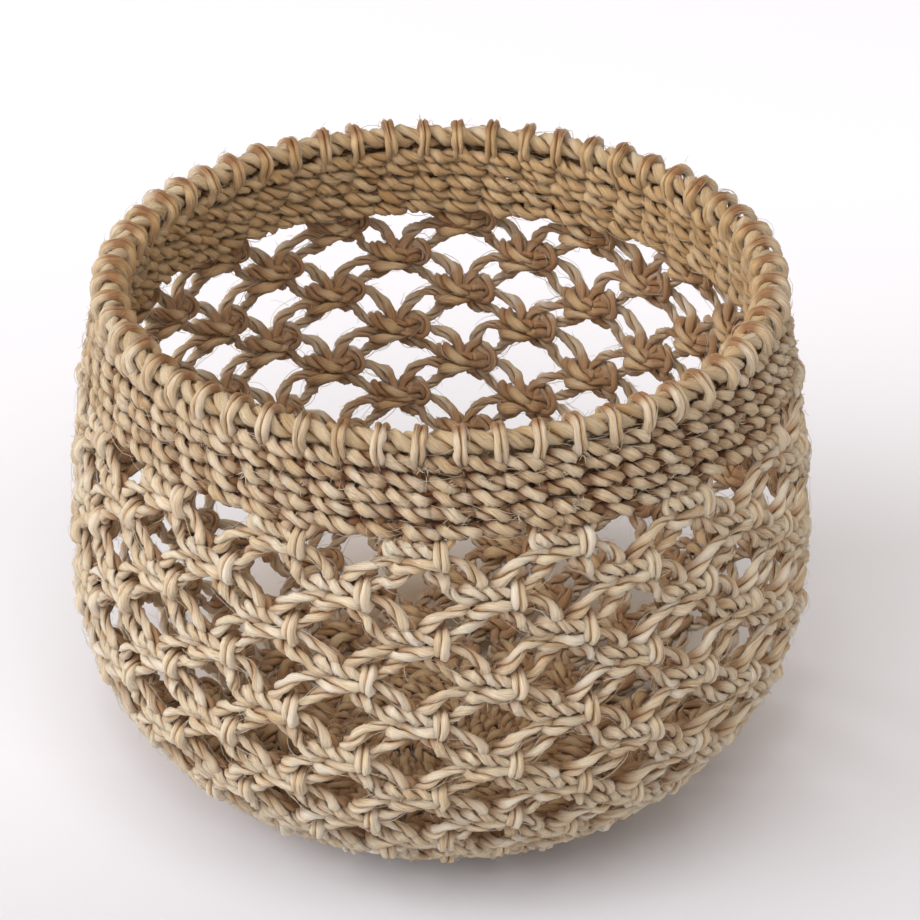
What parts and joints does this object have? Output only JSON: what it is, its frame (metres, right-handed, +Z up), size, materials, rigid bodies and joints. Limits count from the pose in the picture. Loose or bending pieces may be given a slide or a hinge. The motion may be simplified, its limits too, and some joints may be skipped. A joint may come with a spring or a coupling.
{
  "type": "round woven basket",
  "caption": "Round open basket of twisted natural fibre cord: square-knot net belly, twined band, cord-bound rim and small closed base.",
  "frame": {"origin": "middle of the base, on the surface that the basket stands on", "axes": "+Z up along the basket's axis through the mouth; -Y is the side that faces the viewer"},
  "size_m": [0.2392, 0.2392, 0.1875],
  "materials": {
    "net_fibre": "coarse natural fibre cord, dry and slightly lustrous",
    "band_fibre": "coarse natural fibre cord, tightly twined",
    "rim_fibre": "coarse natural fibre cord, pulled flat over the rim cord"
  },
  "bodies": {
    "root": {"rim_cord": "rim_fibre", "rim_loops": "rim_fibre", "band_row_1": "band_fibre", "band_row_2": "band_fibre", "band_row_3": "band_fibre", "band_row_4": "band_fibre", "band_row_5": "band_fibre", "knot_row_01": "net_fibre", "knot_row_02": "net_fibre", "knot_row_03": "net_fibre", "knot_row_04": "net_fibre", "knot_row_05": "net_fibre", "knot_row_06": "net_fibre", "knot_row_07": "net_fibre", "knot_row_08": "net_fibre", "knot_row_09": "net_fibre", "knot_row_10": "net_fibre", "knot_row_11": "net_fibre", "knot_row_12": "net_fibre", "knot_row_13": "net_fibre", "base_knot_row": "net_fibre", "base_centre": "net_fibre"}
  },
  "joints": []
}
